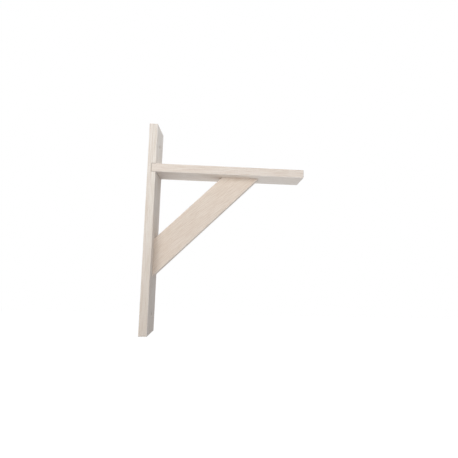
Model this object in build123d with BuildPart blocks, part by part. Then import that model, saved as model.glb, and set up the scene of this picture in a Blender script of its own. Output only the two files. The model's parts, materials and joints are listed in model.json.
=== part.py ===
from build123d import *

import os
from math import cos, radians, sin, tan

# Wooden shelf bracket, in millimetres.
# The origin is on the wall plate's back face, in the middle of its width and level with the
# arm's upper face, where the shelf rests. +X runs along the arm, away from the wall. +Z is up.

# Timber: the plate, the arm and the brace are cut from one planed section
timber_width = 51.0
timber_thickness = 16.0
arris_radius = 1.2

# Wall plate: its height, and its top end above the shelf line
plate_height = 400.0
plate_rise = 78.0

# Housing: a trench across the plate's front. The arm's end is stepped to sit in it behind two
# small shoulders, rests on its lower face and leaves a fine gap below its upper face.
housing_depth = 8.0
shoulder = 0.2
housing_gap = 0.3

# Arm: from the wall to its free end
arm_reach = 300.0

# Brace: its longer edge, and its slope up from the wall plate to the arm
brace_length = 280.0
brace_slope = 45.0

# Countersunk holes for the wall screws, one near each end of the plate
wall_hole_inset = 37.0
wall_hole_diameter = 4.5
wall_sink_diameter = 9.0

# Screws driven through the back of the plate into the arm's end grain
screw_spacing = 25.0
screw_length = 40.0
screw_head_diameter = 8.0
screw_body_diameter = 3.0
screw_point_length = 5.0
screw_hole_diameter = 4.2
screw_below_face = 0.4
pilot_spare_depth = 1.5
sink_angle = 90.0

# Cross recess in the screw heads
recess_span = 4.4
recess_wing = 1.2
recess_depth = 2.0
recess_taper = 12.0

# Fluted dowels that pin both ends of the brace
dowel_diameter = 6.0
dowel_length = 30.0
dowel_chamfer = 0.8
flute_count = 8
flute_radius = 0.45
dowel_from_tip = 30.0
dowel_spacing = 24.0
wood_behind_bore = 5.0
glue_room = 1.0

# Faces and heights that several pieces share
plate_front = timber_thickness
housing_floor = plate_front - housing_depth
plate_bottom = plate_rise - plate_height
arm_underside = -timber_thickness
arm_middle = arm_underside / 2
housed_thickness = timber_thickness - 2 * shoulder

# Where the brace meets the plate and the arm
slope = radians(brace_slope)
foot_tip = arm_underside - brace_length * sin(slope)
head_tip = plate_front + brace_length * cos(slope)
foot_length = timber_width / cos(slope)
head_length = timber_width / sin(slope)

# How far a dowel and its bores go into the plate or the arm, and into the brace
carrier_bore_depth = timber_thickness - wood_behind_bore
dowel_in_carrier = carrier_bore_depth - glue_room
brace_bore_depth = dowel_length - dowel_in_carrier + glue_room

# Joint planes, one at each dowel, with the normal pointing into the brace
foot_joints = {
    "foot_dowel_lower": Plane((plate_front, 0, foot_tip + dowel_from_tip), z_dir=(1, 0, 0)),
    "foot_dowel_upper": Plane((plate_front, 0, foot_tip + dowel_from_tip + dowel_spacing), z_dir=(1, 0, 0)),
}
head_joints = {
    "head_dowel_outer": Plane((head_tip - dowel_from_tip, 0, arm_underside), z_dir=(0, 0, -1)),
    "head_dowel_inner": Plane((head_tip - dowel_from_tip - dowel_spacing, 0, arm_underside), z_dir=(0, 0, -1)),
}

# Screw planes on the plate's back face, with the normal pointing into the wood
arm_screws = {
    "arm_screw_left": Plane((0, -screw_spacing / 2, arm_middle), z_dir=(1, 0, 0)),
    "arm_screw_right": Plane((0, screw_spacing / 2, arm_middle), z_dir=(1, 0, 0)),
}
pilot_depth = screw_below_face + screw_length + pilot_spare_depth - housing_floor

# Wall screw places on the plate's front face, with the normal pointing out of the wood
wall_screws = [
    Plane((plate_front, 0, height), z_dir=(1, 0, 0))
    for height in (plate_rise - wall_hole_inset, plate_bottom + wall_hole_inset)
]

os.makedirs("parts", exist_ok=True)

# Wall plate: an upright board with a housing right across its front
with BuildPart() as wall_plate:
    with BuildSketch(Plane.XY.offset(plate_bottom)):
        with Locations((plate_front / 2, 0)):
            Rectangle(timber_thickness, timber_width)
    extrude(amount=plate_height)
    fillet(wall_plate.edges(), arris_radius)
    with BuildSketch(Plane.XZ):
        with Locations((housing_floor, arm_underside + shoulder)):
            Rectangle(timber_thickness, housed_thickness + housing_gap, align=Align.MIN)
    extrude(amount=timber_width, both=True, mode=Mode.SUBTRACT)
    with Locations(*wall_screws):
        CounterSinkHole(wall_hole_diameter / 2, wall_sink_diameter / 2, timber_thickness, sink_angle)
    with Locations(*[-plane for plane in arm_screws.values()]):
        CounterSinkHole(
            screw_hole_diameter / 2, screw_head_diameter / 2 + screw_below_face, housing_floor, sink_angle
        )
    with Locations(*foot_joints.values()):
        Hole(dowel_diameter / 2, carrier_bore_depth)
wall_plate.part.label = "wall_plate"
export_step(wall_plate.part, "parts/wall_plate.step")

# Arm: a level board, eased along its edges, with a square-edged end in the housing
with BuildPart() as arm:
    with BuildSketch(Plane.YZ.offset(plate_front)):
        with Locations((0, arm_middle)):
            Rectangle(timber_width, timber_thickness)
    extrude(amount=arm_reach - plate_front)
    wall_end = arm.faces().sort_by(Axis.X).first
    fillet(arm.edges() - wall_end.edges(), arris_radius)
    with BuildSketch(Plane.YZ.offset(housing_floor)):
        with Locations((0, arm_middle)):
            Rectangle(timber_width, housed_thickness)
    extrude(amount=housing_depth)
    with Locations(*[-plane.offset(housing_floor) for plane in arm_screws.values()]):
        Hole(screw_body_diameter / 2, pilot_depth)
    with Locations(*head_joints.values()):
        Hole(dowel_diameter / 2, carrier_bore_depth)
arm.part.label = "arm"
export_step(arm.part, "parts/arm.step")

# Brace: a board on edge, with both ends cut to lie flat on the plate and on the arm
with BuildPart() as brace:
    with BuildSketch(Plane.XZ):
        with BuildLine():
            Polyline(
                (plate_front, foot_tip),
                (head_tip, arm_underside),
                (head_tip - head_length, arm_underside),
                (plate_front, foot_tip + foot_length),
                close=True,
            )
        make_face()
    extrude(amount=timber_thickness / 2, both=True)
    fillet(brace.edges().filter_by(Axis((0, 0, 0), (cos(slope), 0, sin(slope)))), arris_radius)
    with Locations(*[-plane for plane in (foot_joints | head_joints).values()]):
        Hole(dowel_diameter / 2, brace_bore_depth)
brace.part.label = "brace"
export_step(brace.part, "parts/brace.step")

# Fluted dowels: half-round flutes let the glue and air out of the blind bores
for label, joint in (foot_joints | head_joints).items():
    with BuildPart() as dowel:
        with BuildSketch(joint.offset(-dowel_in_carrier)):
            Circle(dowel_diameter / 2)
        extrude(amount=dowel_length)
        chamfer(dowel.edges().filter_by(GeomType.CIRCLE), dowel_chamfer)
        with BuildSketch(joint.offset(-dowel_in_carrier)):
            with PolarLocations(dowel_diameter / 2, flute_count, start_angle=180 / flute_count):
                Circle(flute_radius)
        extrude(amount=dowel_length, mode=Mode.SUBTRACT)
    dowel.part.label = label
    export_step(dowel.part, f"parts/{label}.step")

# Arm screws: countersunk heads with a cross recess, just below the plate's back face
head_height = (screw_head_diameter - screw_body_diameter) / 2 / tan(radians(sink_angle / 2))
for label, seat in arm_screws.items():
    head_face = seat.offset(screw_below_face)
    with BuildPart() as screw:
        with BuildSketch(Plane(head_face.origin, x_dir=(1, 0, 0), z_dir=(0, -1, 0))):
            with BuildLine():
                Polyline(
                    (0, 0),
                    (0, screw_head_diameter / 2),
                    (head_height, screw_body_diameter / 2),
                    (screw_length - screw_point_length, screw_body_diameter / 2),
                    (screw_length, 0),
                    close=True,
                )
            make_face()
        revolve(axis=Axis(head_face.origin, (1, 0, 0)))
        with BuildSketch(head_face):
            Rectangle(recess_span, recess_wing)
            Rectangle(recess_wing, recess_span)
        extrude(amount=recess_depth, taper=recess_taper, mode=Mode.SUBTRACT)
    screw.part.label = label
    export_step(screw.part, f"parts/{label}.step")
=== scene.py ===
import json
import math
import bpy
from mathutils import Matrix, Vector


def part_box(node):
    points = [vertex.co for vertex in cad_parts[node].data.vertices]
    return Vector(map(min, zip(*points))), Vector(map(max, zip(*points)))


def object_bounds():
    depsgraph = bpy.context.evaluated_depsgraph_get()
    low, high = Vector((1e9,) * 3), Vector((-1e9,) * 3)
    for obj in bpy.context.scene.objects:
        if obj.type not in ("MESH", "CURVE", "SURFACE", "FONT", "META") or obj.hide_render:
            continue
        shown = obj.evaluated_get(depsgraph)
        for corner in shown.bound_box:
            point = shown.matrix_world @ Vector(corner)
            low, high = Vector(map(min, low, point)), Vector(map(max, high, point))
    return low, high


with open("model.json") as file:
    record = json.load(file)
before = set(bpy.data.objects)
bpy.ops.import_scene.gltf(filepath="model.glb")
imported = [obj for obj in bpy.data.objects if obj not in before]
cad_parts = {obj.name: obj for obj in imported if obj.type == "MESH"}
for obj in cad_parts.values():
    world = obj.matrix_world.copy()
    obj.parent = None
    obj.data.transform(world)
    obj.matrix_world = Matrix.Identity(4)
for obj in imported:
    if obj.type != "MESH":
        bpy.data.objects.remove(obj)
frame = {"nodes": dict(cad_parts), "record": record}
cad_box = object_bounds()

UP, OUT, SIDE = Vector((0, 0, 1)), Vector((1, 0, 0)), Vector((0, 1, 0))
MM_PER_METRE = 1000
WHITE = (1.0, 1.0, 1.0)

# Camera: its place in the bracket's own frame in metres, its turns in degrees, its lens and sensor
# in millimetres, and how far its axis passes from the middle of the picture, in pixels
CAMERA_PLACE = Vector((0.1476, -0.5558, -0.1888))
CAMERA_TURN = -2.90
CAMERA_PITCH = 4.66
CAMERA_ROLL = 1.62
LENS_MM = 22.26
SENSOR_MM = 36.0
PHOTO_PIXELS = 458
OPTICAL_CENTRE_OFF = (8.3, 13.4)

# Studio: soft light all round, two keys in front, a small fill above, a lamp below and one behind.
# Places and sizes are in metres, powers in watts.
AMBIENT = (0.385, 0.42, 0.485)
LAMP_WHITE = (1.0, 1.0, 0.98)
LIGHT_TARGET = Vector((0.08, 0.0, -0.08))
LAMPS = {
    "left_key": {
        "place": Vector((-0.35, -0.70, 0.0)),
        "size": 0.60,
        "power": 3.0,
        "colour": LAMP_WHITE,
    },
    "right_key": {
        "place": Vector((0.30, -0.60, 0.14)),
        "size": 0.50,
        "power": 1.65,
        "colour": LAMP_WHITE,
    },
    "fill": {
        "place": Vector((0.35, 0.05, 0.45)),
        "size": 0.30,
        "power": 1.05,
        "colour": (0.82, 0.91, 1.0),
    },
    "low": {
        "place": Vector((-0.25, 0.12, -1.15)),
        "size": 0.70,
        "power": 5.3,
        "colour": (0.80, 0.91, 1.0),
    },
    "rear": {
        "place": Vector((-0.65, 1.00, 0.35)),
        "size": 3.00,
        "power": 20.0,
        "colour": LAMP_WHITE,
    },
}

# Floor, in metres: far enough below the wall plate for the bracket's shadow to be soft. It glows
# only where it is seen, directly or in a reflection, so that it comes out nearly white there.
FLOOR_DROP = 1.00
FLOOR_SIZE = 12.0
FLOOR_COLOUR = (0.86, 0.86, 0.86)
FLOOR_GLOW = (0.68, 0.65, 0.60)

# Growth rings, in millimetres: their width, how far they wander from a true circle, and over what
# distance and by how many rings their width varies
RING_WIDTH = 2.3
RING_WANDER = 9.0
RING_SPREAD_OVER = 7
RING_SPREAD = 1.6

# Shares of a ring's width over which it darkens and over which it ends, and the strength of the
# faintest ring
RING_DARKENS = (0.25, 0.92)
RING_ENDS = (1.0, 0.93)
RING_FAINTEST = 0.5

# Sizes of the timber's marks in millimetres: length along the grain, then width across it
WANDER_SIZE = (150, 40)
BAND_SIZE = (220, 7)
FIBRE_SIZE = (9, 1 / 2.6)
CLOUD_SIZE = (60, 25)
FLECK_SIZE = (4.5, 1 / 2.2)

# Noise levels between which each mark fades in. A fleck fades in towards the middle of its cell,
# and its chance decides which cells have one.
BAND_FADE = (0.3, 0.7)
STREAK_FADE = (0.46, 0.62)
FIBRE_FADE = (0.45, 0.7)
CLOUD_FADE = (0.35, 0.75)
FLECK_FADE = (0.42, 0.12)
FLECK_CHANCE = (0.45, 0.75)

# Cosines of the surface's tilt from a board's own directions, between which it becomes end grain,
# one of the two broad faces, or an eased edge
END_FACING = (0.55, 0.85)
BROAD_FACING = (0.8, 0.95)
ARRIS_FACING = (0.97, 0.88)

# How much each mark tints the timber, from 0 to 1
BAND_TINT = 0.45
CLOUD_TINT = 0.4
# Painted falloff: painted shade for light that falls off away from the lamps
PAINTED_FALLOFF_TINT = 0.38
RING_TINT = 0.4
STREAK_TINT = 0.62
FIBRE_TINT = 0.22
FLECK_TINT = 0.6
END_TINT = 0.75
END_RING_TINT = 0.6
ARRIS_TINT = 0.25
SEAM_TINT = 0.95
HOLE_TINT = 0.35

# Bare timber's surface, with the depth of its grain in metres
BARE_ROUGHNESS = 0.7
BARE_SPECULAR = 0.2
GRAIN_RELIEF = 0.00006
GRAIN_STRENGTH = 0.5

# Glue line and painted gap shadow round the arm's housed end: half its width, and how fast it
# fades past the plate's front, in metres
SEAM_HALF_WIDTH = 0.0008
SEAM_FADE = 0.0004

# Wall screw holes: the countersink's radius over the hole's, and the shade's soft edge in metres
SINK_TO_HOLE = 2
HOLE_EDGE = 0.0008

# Glue and painted shade in the joint line, shade in the holes, and the paler tone of worn edges,
# which also paints a highlight along them
JOINT_SHADE = (0.30, 0.235, 0.18)
WORN_EDGE_AND_HIGHLIGHT = (0.88, 0.82, 0.75)

# Timber colours: pale, warm, latewood line, ray fleck and end grain
PLATE_TONES = (
    (0.805, 0.738, 0.660),
    (0.770, 0.695, 0.610),
    (0.630, 0.525, 0.425),
    (0.560, 0.440, 0.340),
    (0.690, 0.635, 0.575),
)
ARM_TONES = (
    (0.800, 0.718, 0.632),
    (0.765, 0.665, 0.570),
    (0.630, 0.510, 0.410),
    (0.560, 0.430, 0.335),
    (0.715, 0.655, 0.590),
)
BRACE_TONES = (
    (0.790, 0.688, 0.585),
    (0.755, 0.640, 0.530),
    (0.620, 0.485, 0.375),
    (0.550, 0.410, 0.305),
    (0.670, 0.570, 0.470),
)
DOWEL_TONES = (
    (0.700, 0.560, 0.420),
    (0.660, 0.510, 0.370),
    (0.520, 0.380, 0.260),
    (0.450, 0.320, 0.210),
    (0.520, 0.400, 0.280),
)

# Zinc plating: its two tones, and how many of its blotches fit in a metre
ZINC_DULL = (0.46, 0.455, 0.42)
ZINC_BRIGHT = (0.62, 0.61, 0.57)
ZINC_BLOTCHES = 900


class Value:
    """A socket of a material. Arithmetic on it adds Math nodes."""

    def __init__(self, shader, socket):
        self.shader = shader
        self.socket = socket

    def __add__(self, other):
        return self.shader.math("ADD", self, other)

    def __sub__(self, other):
        return self.shader.math("SUBTRACT", self, other)

    def __rsub__(self, other):
        return self.shader.math("SUBTRACT", other, self)

    def __mul__(self, other):
        return self.shader.math("MULTIPLY", self, other)

    def __truediv__(self, other):
        return self.shader.math("DIVIDE", self, other)

    def __rtruediv__(self, other):
        return self.shader.math("DIVIDE", other, self)

    __radd__ = __add__
    __rmul__ = __mul__


class Shader:
    """The node tree of one material or world, built from expressions."""

    def __init__(self, owner, output="OutputMaterial"):
        owner.use_nodes = True
        self.tree = owner.node_tree
        self.tree.nodes.clear()
        self.output = output

    def node(self, kind, settings=None, sockets=None, output=0):
        """Adds a node: its settings first, then the values or links of its sockets."""
        node = self.tree.nodes.new("ShaderNode" + kind)
        for name, setting in (settings or {}).items():
            setattr(node, name, setting)
        for name, given in (sockets or {}).items():
            socket = self.find(node.inputs, name)
            if isinstance(given, Value):
                self.tree.links.new(given.socket, socket)
            else:
                socket.default_value = given
        return None if output is None else Value(self, self.find(node.outputs, output))

    @staticmethod
    def find(sockets, name):
        """A socket by its number, its identifier or its name."""
        if isinstance(name, int):
            return sockets[name]
        return next(socket for socket in sockets if name in (socket.identifier, socket.name))

    def math(self, operation, *terms):
        return self.node("Math", {"operation": operation}, dict(enumerate(terms)))

    def magnitude(self, value):
        return self.math("ABSOLUTE", value)

    def largest(self, first, *others):
        for other in others:
            first = self.math("MAXIMUM", first, other)
        return first

    def vector_math(self, operation, *terms, output=0):
        return self.node("VectorMath", {"operation": operation}, dict(enumerate(terms)), output)

    def dot(self, vector, direction):
        return self.vector_math("DOT_PRODUCT", vector, direction, output="Value")

    def length(self, vector):
        return self.vector_math("LENGTH", vector, output="Value")

    def combine(self, x, y, z):
        return self.node("CombineXYZ", sockets={0: x, 1: y, 2: z})

    def part(self, vector, axis):
        """One part of a vector: its X, Y or Z."""
        return self.node("SeparateXYZ", sockets={0: vector}, output=axis)

    def smooth(self, value, low, high):
        """0 at low, 1 at high and a smooth curve between; low may be the larger."""
        sockets = {"Value": value, "From Min": low, "From Max": high}
        return self.node("MapRange", {"interpolation_type": "SMOOTHSTEP"}, sockets)

    def noise(self, vector, detail=2.0, roughness=0.5):
        sockets = {"Vector": vector, "Scale": 1.0, "Detail": detail, "Roughness": roughness}
        return self.node("TexNoise", sockets=sockets)

    def mix(self, factor, first, second):
        """A colour between first and second, each a colour or a link."""
        sockets = {"Factor_Float": factor, "A_Color": opaque(first), "B_Color": opaque(second)}
        return self.node("Mix", {"data_type": "RGBA"}, sockets, "Result_Color")

    def surface(self, shader):
        self.node(self.output, sockets={"Surface": shader}, output=None)


def opaque(colour):
    """A colour with full alpha, or the link as it is."""
    return colour if isinstance(colour, Value) else (*colour, 1.0)


class Board:
    """How a board was cut, with all lengths in millimetres.

    Its length runs along, and its width across. The pith, the middle of the tree, lies so far
    across and through the board. Streaks are its dark streaks' length and width. Painted falloff
    is
    where along the board, from the bracket's origin, it starts to darken slowly, and where that
    ends:
    painted shade for light that falls off away from the lamps.
    Start shifts the marks along the board, so that boards of one cut differ. Runout is the angle
    in degrees at which the grain leaves the board's length, and sweep is the grain's curve, 1 over
    its radius.
    """

    def __init__(self, along, across, pith, streaks, painted_falloff, start=0.0, runout=0.0, sweep=0.0):
        self.length, self.width = along.normalized(), across.normalized()
        self.through = self.length.cross(self.width)
        turn = Matrix.Rotation(math.radians(runout), 3, self.through)
        self.along, self.across = turn @ self.length, turn @ self.width
        self.pith = pith
        self.streaks = streaks
        self.painted_falloff = painted_falloff
        self.start = start
        self.sweep = sweep


class Figure:
    """The figure of a board's grain: masks that its colour, roughness and relief share."""

    def __init__(self, shader, board):
        self.shader = shader
        self.place = shader.node("TexCoord", output="Object")
        from_origin = shader.dot(self.place, board.along * MM_PER_METRE)
        bow = from_origin * from_origin * (board.sweep / 2)
        self.along = from_origin + board.start
        self.across = bow + shader.dot(self.place, board.across * MM_PER_METRE)
        self.through = shader.dot(self.place, board.through * MM_PER_METRE)

        self.ring = self.growth_rings(board)
        self.band = self.marks(BAND_SIZE, 2.0, 0.6)
        self.streak = self.marks(board.streaks, 3.0, 0.6)
        self.fibre = self.marks(FIBRE_SIZE, 3.0, 0.6)
        self.cloud = self.marks(CLOUD_SIZE)
        self.fleck = self.ray_flecks()
        self.painted_falloff = shader.smooth(from_origin, *board.painted_falloff)

        normal = shader.node("NewGeometry", output="Normal")
        directions = (board.length, board.width, board.through)
        facing = [shader.magnitude(shader.dot(normal, direction)) for direction in directions]
        self.end = shader.smooth(facing[0], *END_FACING)
        self.face = shader.smooth(facing[2], *BROAD_FACING)
        self.arris = shader.smooth(shader.largest(*facing), *ARRIS_FACING)

    def stretched(self, size):
        """The place in the board, counted in marks of one length and width."""
        length, width = size
        return self.shader.combine(self.along / length, self.across / width, self.through / width)

    def marks(self, size, detail=2.0, roughness=0.5):
        return self.shader.noise(self.stretched(size), detail, roughness)

    def growth_rings(self, board):
        """Each ring darkens slowly and ends sharply, and some rings are stronger than others."""
        shader = self.shader
        wander = self.marks(WANDER_SIZE) * RING_WANDER
        off_pith = shader.combine(0.0, self.across - board.pith[0], self.through - board.pith[1])
        radius = shader.length(off_pith) + wander
        spread = shader.noise(shader.combine(radius / RING_SPREAD_OVER, 0.0, 0.0)) * RING_SPREAD
        rings = radius / RING_WIDTH + spread
        within = shader.math("FRACT", rings)
        sockets = {"W": shader.math("FLOOR", rings)}
        chance = shader.node("TexWhiteNoise", {"noise_dimensions": "1D"}, sockets)
        line = shader.smooth(within, *RING_DARKENS) * shader.smooth(within, *RING_ENDS)
        return line * (chance * (1 - RING_FAINTEST) + RING_FAINTEST)

    def ray_flecks(self):
        """Short dark flecks in some of the cells that the board is divided into."""
        shader = self.shader
        cells = {"Vector": self.stretched(FLECK_SIZE), "Scale": 1.0}
        from_middle = shader.node("TexVoronoi", sockets=cells, output="Distance")
        cell_colour = shader.node("TexVoronoi", sockets=cells, output="Color")
        chance = shader.node("SeparateColor", sockets={0: cell_colour})
        return shader.smooth(from_middle, *FLECK_FADE) * shader.smooth(chance, *FLECK_CHANCE)


def bare_timber(shader, figure, tones, shade):
    """Sanded timber with no finish; shade is where joints and holes darken it."""
    pale, warm, late, fleck, end = tones
    layers = (
        (shader.smooth(figure.band, *BAND_FADE) * BAND_TINT, warm),
        (shader.smooth(figure.cloud, *CLOUD_FADE) * CLOUD_TINT, warm),
        # Painted shade: each board darkens slowly along its length, for light falling off away
        # from the lamps
        (figure.painted_falloff * PAINTED_FALLOFF_TINT, fleck),
        (figure.ring * RING_TINT, late),
        (shader.smooth(figure.streak, *STREAK_FADE) * STREAK_TINT, late),
        (shader.smooth(figure.fibre, *FIBRE_FADE) * FIBRE_TINT, late),
        (figure.fleck * FLECK_TINT, fleck),
        (figure.end * END_TINT, end),
        (figure.end * figure.ring * END_RING_TINT, fleck),
        # Paler worn edges, which also stand in for a painted highlight along the eased edges
        (figure.arris * ARRIS_TINT, WORN_EDGE_AND_HIGHLIGHT),
        (shade, JOINT_SHADE),
    )
    colour = pale
    for share, tone in layers:
        colour = shader.mix(share, colour, tone)
    roughness = BARE_ROUGHNESS + figure.fibre * 0.1 - figure.ring * 0.08
    roughness = roughness + figure.end * 0.1 - figure.arris * 0.1
    height = figure.fibre * 0.6 + figure.streak * 0.4 - figure.ring * 0.35 - figure.fleck * 0.3
    relief = {"Strength": GRAIN_STRENGTH, "Distance": GRAIN_RELIEF, "Height": height}
    sockets = {
        "Base Color": colour,
        "Roughness": roughness,
        "Specular IOR Level": BARE_SPECULAR,
        "Normal": shader.node("Bump", sockets=relief),
    }
    shader.surface(shader.node("BsdfPrincipled", sockets=sockets))


def seam(shader, place):
    """1 on the glue line and painted gap shadow round the arm's housed end, and 0 past the plate's
    front.
    """
    low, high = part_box("arm")
    plate_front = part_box("brace")[0].x
    off_middle = shader.vector_math("SUBTRACT", place, (low + high) / 2)
    from_middle = shader.vector_math("ABSOLUTE", off_middle)
    outside = shader.vector_math("SUBTRACT", from_middle, (high - low) / 2)
    off_outline = shader.largest(shader.part(outside, "X"), shader.part(outside, "Z"))
    line = shader.smooth(shader.magnitude(off_outline), SEAM_HALF_WIDTH, 0.0)
    return line * shader.smooth(shader.part(place, "X"), plate_front + SEAM_FADE, plate_front)


def wall_holes(shader, place, face):
    """1 on the walls of the plate's two wall screw holes, which run along X.

    face is 1 on the plate's front and back, which the shade leaves alone.
    """
    mount = next(m for m in frame["record"]["mounts"] if m["name"] == "wall_screws")
    middle = Vector(mount["pos_m"])
    half_spacing = UP * mount["dims"]["spacing_y_mm"] / 2 / MM_PER_METRE
    sink_radius = SINK_TO_HOLE * mount["dims"]["hole_r_mm"] / MM_PER_METRE
    inside = 0.0
    for centre in (middle - half_spacing, middle + half_spacing):
        from_centre = shader.vector_math("SUBTRACT", place, centre)
        off_axis = shader.length(shader.vector_math("MULTIPLY", from_centre, SIDE + UP))
        inside = shader.smooth(off_axis, sink_radius, sink_radius - HOLE_EDGE) + inside
    return inside * (1 - face)


def timber(name, board, tones, seamed=False, drilled=False):
    material = bpy.data.materials.new(name)
    shader = Shader(material)
    figure = Figure(shader, board)
    shade = 0.0
    if seamed:
        # Glue line and painted shadow of the gap round the arm's housed end
        shade = seam(shader, figure.place) * SEAM_TINT
    if drilled:
        shade = wall_holes(shader, figure.place, figure.face) * HOLE_TINT + shade
    bare_timber(shader, figure, tones, shade)
    return material


def zinc_plate(name):
    """Bright zinc plating, a little mottled."""
    material = bpy.data.materials.new(name)
    shader = Shader(material)
    place = shader.node("TexCoord", output="Object")
    blotches = shader.vector_math("MULTIPLY", place, Vector((ZINC_BLOTCHES,) * 3))
    cloud = shader.noise(blotches, 3.0, 0.6)
    sockets = {
        "Base Color": shader.mix(shader.smooth(cloud, 0.35, 0.65), ZINC_DULL, ZINC_BRIGHT),
        "Metallic": 1.0,
        "Roughness": cloud * 0.25 + 0.4,
    }
    shader.surface(shader.node("BsdfPrincipled", sockets=sockets))
    return material


def give(material, *nodes):
    """Puts one material on every slot of the named nodes."""
    for name in nodes:
        for slot in frame["nodes"][name].material_slots:
            slot.material = material


def finish_plate():
    board = Board(
        along=UP,
        across=SIDE,
        pith=(-95.0, 70.0),
        streaks=(40.0, 1.4),
        # painted shade: darker towards the plate's bottom end
        painted_falloff=(20.0, -330.0),
        runout=0.6,
    )
    give(timber("plate_timber", board, PLATE_TONES, seamed=True, drilled=True), "wall_plate")


def finish_arm():
    board = Board(
        along=OUT,
        across=SIDE,
        pith=(40.0, -85.0),
        streaks=(32.0, 1.1),
        # painted shade: a little darker towards the arm's outer end
        painted_falloff=(0.0, 900.0),
        start=400.0,
        runout=-0.5,
    )
    give(timber("arm_timber", board, ARM_TONES, seamed=True), "arm")


def finish_brace():
    board = Board(
        along=OUT + UP,
        across=UP - OUT,
        pith=(-60.0, 85.0),
        streaks=(24.0, 0.9),
        # painted shade: darker towards the brace's foot
        painted_falloff=(150.0, -700.0),
        start=900.0,
        runout=-4.8,
        sweep=0.0004,
    )
    give(timber("brace_timber", board, BRACE_TONES), "brace")


def finish_dowels():
    ends = {"foot": (OUT, ("lower", "upper")), "head": (UP, ("inner", "outer"))}
    for end, (along, places) in ends.items():
        board = Board(
            along=along,
            across=SIDE,
            pith=(30.0, 30.0),
            streaks=(12.0, 0.8),
            painted_falloff=(0.0, 900.0),
        )
        wood = timber(f"{end}_dowel_wood", board, DOWEL_TONES)
        give(wood, *[f"{end}_dowel_{place}" for place in places])


def finish_screws():
    give(zinc_plate("screw_steel"), "arm_screw_left", "arm_screw_right")


def seen_directly(shader):
    """1 on rays that show the background: from the camera, off a glossy face or through glass."""
    kinds = ("Camera", "Glossy", "Transmission")
    return shader.largest(*[shader.node("LightPath", output=f"Is {kind} Ray") for kind in kinds])


def background(shader, lit, shown):
    """One shader to light the bracket with, and another to show behind it."""
    sockets = {0: seen_directly(shader), 1: lit, 2: shown}
    shader.surface(shader.node("MixShader", sockets=sockets))


def light_world():
    world = bpy.data.worlds.new("studio")
    bpy.context.scene.world = world
    shader = Shader(world, "OutputWorld")
    lit = shader.node("Background", sockets={"Color": opaque(AMBIENT)})
    shown = shader.node("Background", sockets={"Color": opaque(WHITE)})
    background(shader, lit, shown)


def add_lamp(name, place, size, power, colour):
    data = bpy.data.lights.new(name, "AREA")
    data.size = size
    data.energy = power
    data.color = colour
    lamp = bpy.data.objects.new(name, data)
    lamp.location = place
    lamp.rotation_mode = "QUATERNION"
    lamp.rotation_quaternion = (LIGHT_TARGET - place).to_track_quat("-Z", "Y")
    lamp.visible_camera = False
    lamp.visible_glossy = False
    bpy.context.collection.objects.link(lamp)


def lay_floor():
    half = FLOOR_SIZE / 2
    height = cad_box[0].z - FLOOR_DROP
    mesh = bpy.data.meshes.new("floor")
    corners = [(x * half, y * half, height) for x, y in ((-1, -1), (1, -1), (1, 1), (-1, 1))]
    mesh.from_pydata(corners, [], [(0, 1, 2, 3)])
    floor = bpy.data.objects.new("floor", mesh)
    bpy.context.collection.objects.link(floor)
    material = bpy.data.materials.new("floor_paint")
    shader = Shader(material)
    paint = shader.node("BsdfDiffuse", sockets={"Color": opaque(FLOOR_COLOUR)})
    glow = shader.node("Emission", sockets={"Color": opaque(FLOOR_GLOW)})
    background(shader, paint, shader.node("AddShader", sockets={0: paint, 1: glow}))
    mesh.materials.append(material)


def set_camera():
    data = bpy.data.cameras.new("camera")
    data.lens = LENS_MM
    data.sensor_width = SENSOR_MM
    data.shift_x = -OPTICAL_CENTRE_OFF[0] / PHOTO_PIXELS
    data.shift_y = OPTICAL_CENTRE_OFF[1] / PHOTO_PIXELS
    camera = bpy.data.objects.new("camera", data)
    turn = Matrix.Rotation(math.radians(CAMERA_TURN), 4, "Z")
    pitch = Matrix.Rotation(math.radians(90 + CAMERA_PITCH), 4, "X")
    roll = Matrix.Rotation(math.radians(CAMERA_ROLL), 4, "Z")
    camera.matrix_world = Matrix.Translation(CAMERA_PLACE) @ turn @ pitch @ roll
    bpy.context.collection.objects.link(camera)
    bpy.context.scene.camera = camera


bpy.context.scene.view_settings.view_transform = "Standard"
set_camera()
light_world()
for lamp_name, lamp in LAMPS.items():
    add_lamp(lamp_name, **lamp)
lay_floor()
finish_plate()
finish_arm()
finish_brace()
finish_dowels()
finish_screws()
